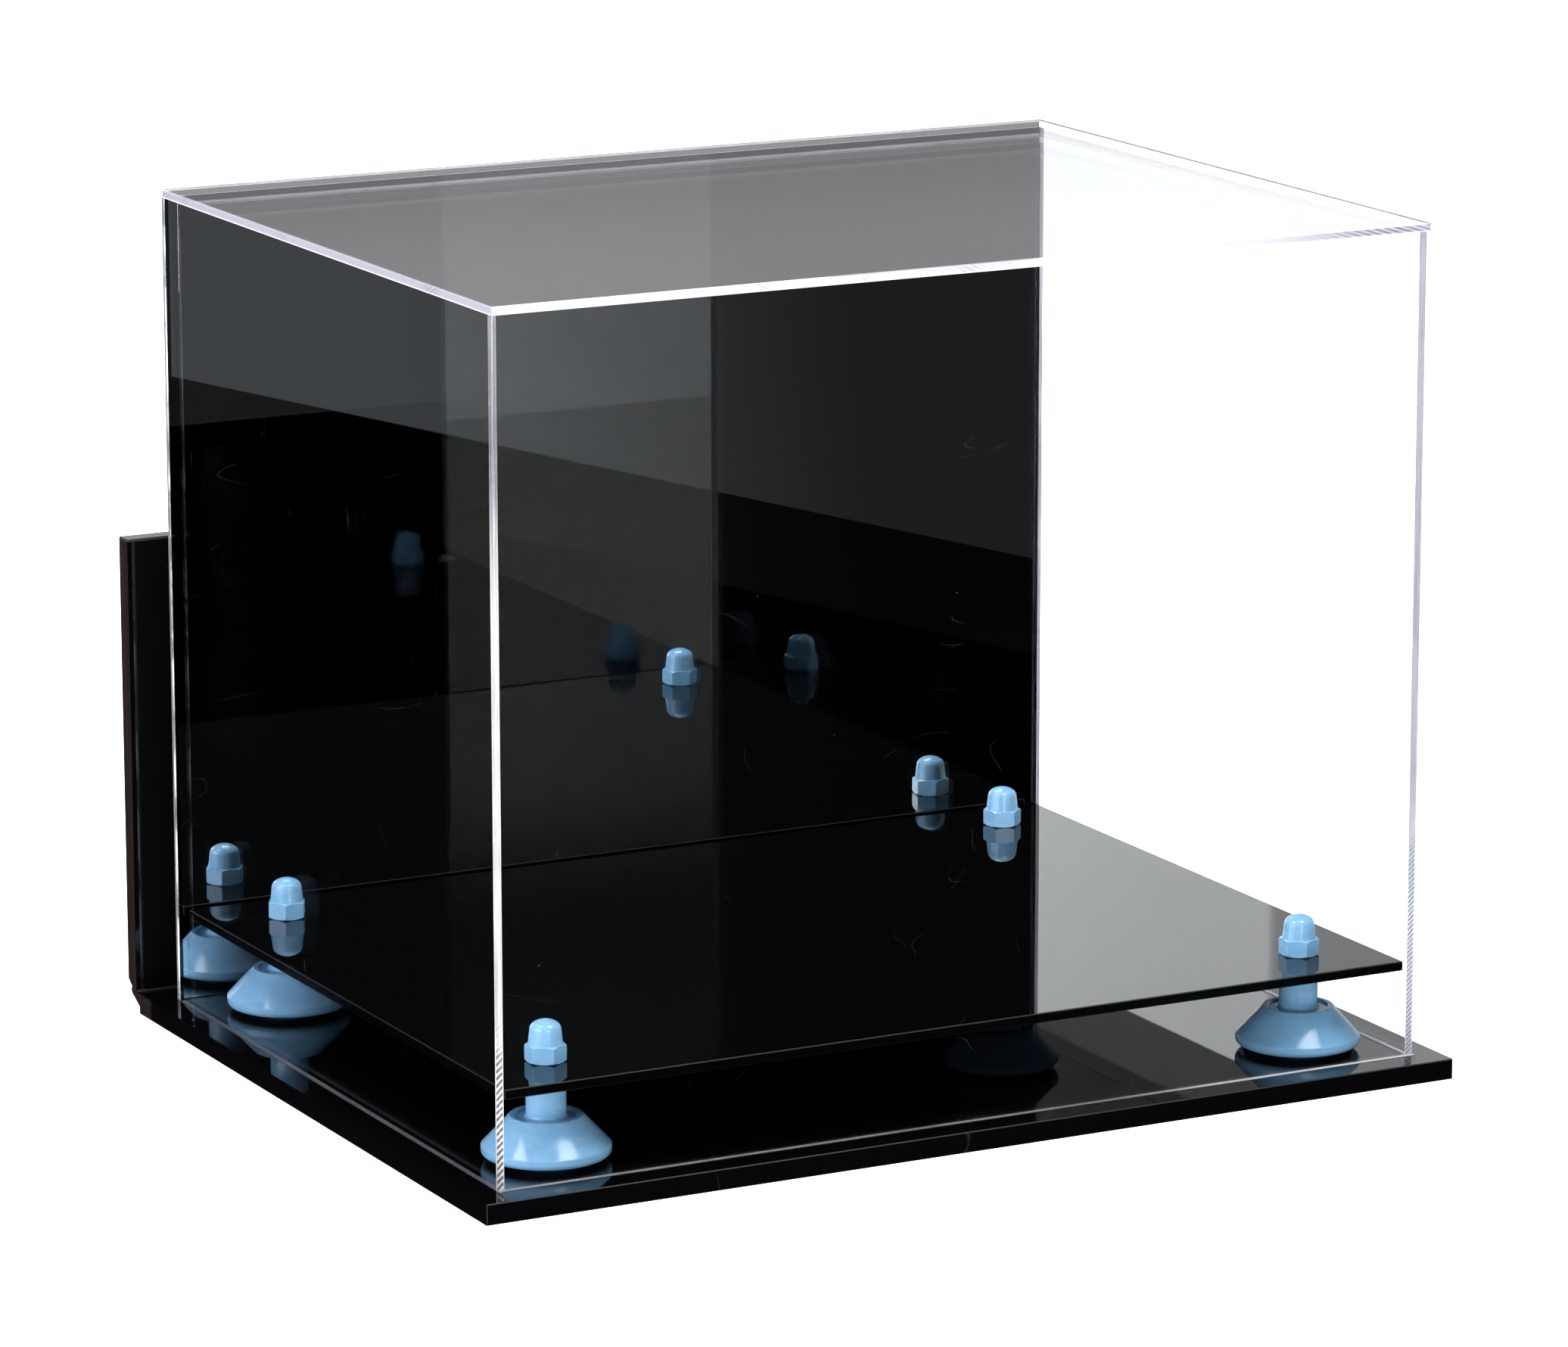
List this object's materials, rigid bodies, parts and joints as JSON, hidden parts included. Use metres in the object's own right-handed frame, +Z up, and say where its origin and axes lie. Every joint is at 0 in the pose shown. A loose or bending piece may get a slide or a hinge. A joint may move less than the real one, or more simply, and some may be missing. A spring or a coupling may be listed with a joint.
{
  "type": "display case",
  "caption": "Clear lift-off display cover with a mirror back, over a raised platform on a black base with a wall-mount upstand.",
  "frame": {"origin": "on the underside of the base, at the middle of the whole footprint, upstand included", "axes": "+X along the width, to the right as seen from the front; +Y back towards the wall-mount upstand; +Z up"},
  "size_m": [0.381, 0.3096, 0.3085],
  "materials": {
    "black_acrylic": "gloss",
    "clear_acrylic": "polished",
    "mirror_acrylic": "polished",
    "blue_plastic": "gloss",
    "screw_steel": "satin"
  },
  "bodies": {
    "base": {"base_bracket": "black_acrylic", "platform": "black_acrylic", "riser_front_left": "blue_plastic", "riser_front_right": "blue_plastic", "riser_rear_left": "blue_plastic", "riser_rear_right": "blue_plastic", "cap_nut_front_left": "blue_plastic", "cap_nut_front_right": "blue_plastic", "cap_nut_rear_left": "blue_plastic", "cap_nut_rear_right": "blue_plastic", "base_screw_front_left": "screw_steel", "base_screw_front_right": "screw_steel", "base_screw_rear_left": "screw_steel", "base_screw_rear_right": "screw_steel"},
    "cover": {"cover_top": "clear_acrylic", "cover_front": "clear_acrylic", "cover_left": "clear_acrylic", "cover_right": "clear_acrylic", "mirror_back": "mirror_acrylic"}
  },
  "joints": [
    {"name": "cover_lift", "type": "slide", "parent": "base", "child": "cover", "axis": [0, 0, 1], "range_m": [0, 0.34]}
  ]
}
